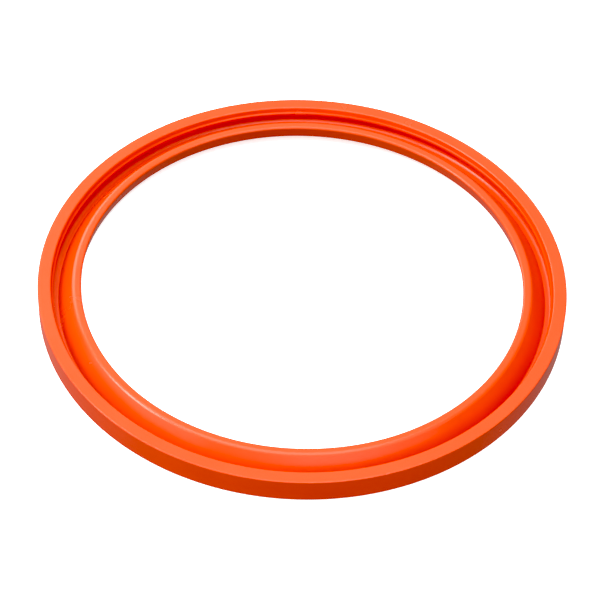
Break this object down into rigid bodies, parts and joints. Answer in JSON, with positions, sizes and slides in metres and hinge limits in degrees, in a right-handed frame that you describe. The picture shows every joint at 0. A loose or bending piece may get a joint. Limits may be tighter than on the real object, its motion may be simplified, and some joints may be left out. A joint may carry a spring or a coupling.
{
  "type": "pressure cooker sealing ring",
  "caption": "Soft orange silicone ring that seals the lid of a stovetop pressure cooker, with a thick outer wall, an open channel and a sloping inner lip.",
  "frame": {"origin": "centre of the ring on the plane of its flat base", "axes": "+Z along the ring's axis, from the flat base towards the open side of the channel; X and Y are any two radii at right angles"},
  "size_m": [0.24, 0.24, 0.012],
  "materials": {
    "silicone": "smooth satin moulded silicone rubber, bright orange-red right through"
  },
  "bodies": {
    "root": {"sealing_ring": "silicone"}
  },
  "joints": []
}
